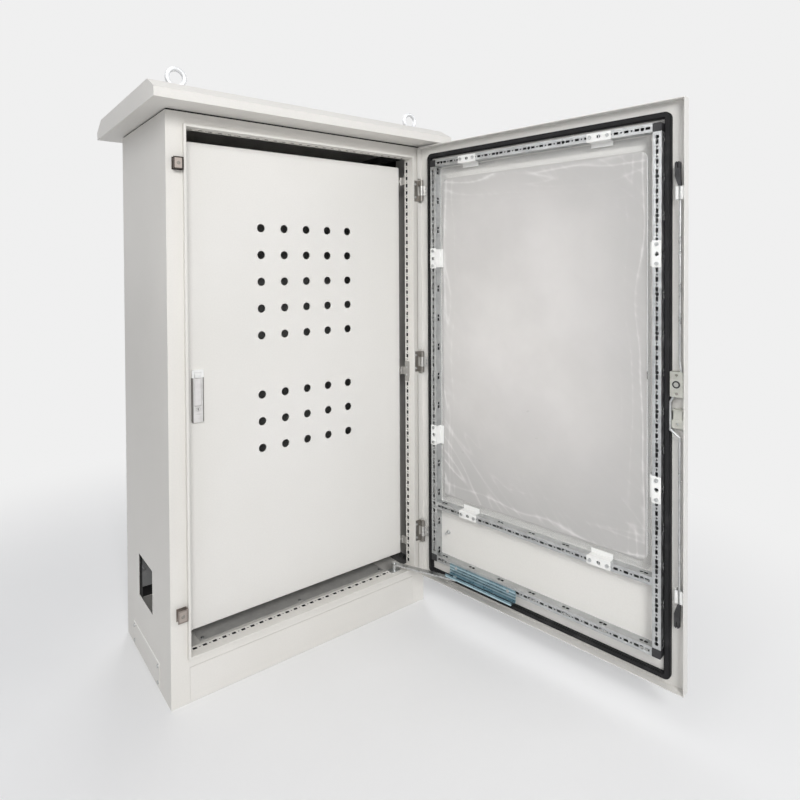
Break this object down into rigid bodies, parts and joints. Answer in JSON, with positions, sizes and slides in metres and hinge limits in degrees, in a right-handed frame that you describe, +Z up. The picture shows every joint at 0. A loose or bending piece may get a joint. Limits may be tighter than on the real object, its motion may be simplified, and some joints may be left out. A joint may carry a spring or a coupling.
{
  "type": "outdoor utility cabinet",
  "caption": "Pale grey steel outdoor cabinet on a plinth with an overhanging rain hood, lifting eyes, a windowed outer door held open by a stay and a perforated inner door.",
  "frame": {"origin": "middle of the footprint of the body on the ground", "axes": "+X to the right seen from the front, +Y to the back, +Z up"},
  "size_m": [1.0117, 1.2783, 1.558],
  "materials": {
    "painted_body": "satin fine-texture powder coat",
    "painted_hood": "satin fine-texture powder coat",
    "painted_door": "satin fine-texture powder coat",
    "painted_inner": "satin fine-texture powder coat",
    "painted_bracket": "satin powder coat",
    "zinc": "zinc plated",
    "rail_zinc": "galvanised",
    "blue_zinc": "blue passivated zinc",
    "bright_zinc": "bright zinc plated",
    "stainless": "brushed",
    "lock_metal": "satin chrome die casting",
    "black_plastic": "matt",
    "black_handle": "satin black powder coat",
    "rubber": "matt foamed seal",
    "clear_pane": "clear with a milky protective film"
  },
  "bodies": {
    "cabinet_body": {"side_panel_left": "painted_body", "side_panel_right": "painted_body", "top_panel": "painted_body", "floor_panel": "painted_body", "door_gutter": "painted_body", "frame_strips_upright": "painted_body", "frame_strips_level": "painted_body", "back_panel": "painted_body", "back_screws": "zinc", "rain_hood": "painted_hood", "hood_seal_strip": "rubber", "eye_bolts": "bright_zinc", "plinth_front_plate": "painted_body", "plinth_rear_plate": "painted_body", "plinth_covers": "painted_body", "plinth_screws": "zinc", "cable_plate": "zinc", "cable_plate_screws": "zinc", "rear_uprights": "zinc", "depth_rails": "zinc", "mounting_plate": "zinc", "mounting_screws": "zinc", "rod_keepers": "stainless", "hinge_body_leaves": "stainless", "hinge_pins": "stainless", "inner_hinge_frames": "stainless", "inner_hinge_pins": "zinc", "inner_latch_keeper": "stainless", "stay_bracket": "zinc"},
    "outer_door_body": {"door_panel": "painted_door", "window_pane": "clear_pane", "door_seal": "rubber", "door_rails_upright": "rail_zinc", "door_rails_level": "rail_zinc", "rail_corners": "black_plastic", "pane_clamps": "painted_bracket", "clamp_screws": "zinc", "hinge_door_leaves": "stainless", "rod_guides": "painted_bracket", "gear_case": "lock_metal", "key_case": "lock_metal", "handle_base": "black_handle", "earth_stud": "zinc", "stay_channel": "blue_zinc", "stay_screws": "zinc"},
    "spindle_body": {"handle_spindle": "black_handle"},
    "lever_body": {"handle_lever": "black_handle"},
    "upper_rod_body": {"upper_rod": "zinc", "upper_rod_tip": "black_plastic"},
    "lower_rod_body": {"lower_rod": "zinc", "lower_rod_tip": "black_plastic"},
    "stay_arm_body": {"stay_arm": "zinc"},
    "stay_slider_body": {"stay_slider": "zinc"},
    "inner_door_body": {"inner_door_panel": "painted_inner", "inner_lock_body": "lock_metal", "inner_hinge_leaves": "stainless"},
    "inner_lever_body": {"inner_lock_lever": "lock_metal"},
    "inner_button_body": {"inner_lock_button": "lock_metal"},
    "inner_cam_body": {"inner_lock_cam": "lock_metal"}
  },
  "joints": [
    {"name": "outer_door_swing", "type": "hinge", "parent": "cabinet_body", "child": "outer_door_body", "pos_m": [0.387, -0.215, 0.769], "axis": [0, 0, 1], "range_deg": [-98.4, 11.6]},
    {"name": "handle_turn", "type": "hinge", "parent": "outer_door_body", "child": "spindle_body", "pos_m": [0.52378, -0.97012, 0.799], "axis": [0.9893, 0.1461, 0], "range_deg": [-90, 0]},
    {"name": "handle_lift", "type": "hinge", "parent": "spindle_body", "child": "lever_body", "pos_m": [0.531, -0.96905, 0.799], "axis": [0, 0, -1], "range_deg": [-20, 0]},
    {"name": "upper_rod_slide", "type": "slide", "parent": "outer_door_body", "child": "upper_rod_body", "axis": [0, 0, 1], "range_m": [0, 0.01414]},
    {"name": "lower_rod_slide", "type": "slide", "parent": "outer_door_body", "child": "lower_rod_body", "axis": [0, 0, -1], "range_m": [0, 0.01414]},
    {"name": "stay_arm_swing", "type": "hinge", "parent": "cabinet_body", "child": "stay_arm_body", "pos_m": [0.296, -0.182, 0.1388], "axis": [0, 0, 1], "range_deg": [-113.33, 13.4]},
    {"name": "stay_slider_slide", "type": "slide", "parent": "outer_door_body", "child": "stay_slider_body", "axis": [0.1461, -0.9893, 0], "range_m": [-0.01727, 0.145]},
    {"name": "inner_door_swing", "type": "hinge", "parent": "cabinet_body", "child": "inner_door_body", "pos_m": [0.351, -0.154, 0.767], "axis": [0, 0, 1], "range_deg": [0, 90]},
    {"name": "inner_lever_flip", "type": "hinge", "parent": "inner_door_body", "child": "inner_lever_body", "pos_m": [-0.312, -0.1545, 0.78606], "axis": [-1, 0, 0], "range_deg": [0, 60]},
    {"name": "inner_button_push", "type": "slide", "parent": "inner_door_body", "child": "inner_button_body", "axis": [0, 1, 0], "range_m": [0, 0.003], "stiffness_N_per_m": 400},
    {"name": "inner_cam_turn", "type": "hinge", "parent": "inner_door_body", "child": "inner_cam_body", "pos_m": [-0.312, -0.14, 0.7095], "axis": [0, 1, 0], "range_deg": [0, 90]}
  ],
  "couplings": [
    {"joint": "upper_rod_slide", "follows": "handle_turn", "m_per_rad": -0.009},
    {"joint": "lower_rod_slide", "follows": "handle_turn", "m_per_rad": -0.009},
    {"joint": "stay_arm_swing", "follows": "outer_door_swing", "ratio": 1.1513},
    {"joint": "stay_slider_slide", "follows": "outer_door_swing", "m_per_rad": -0.084315}
  ]
}
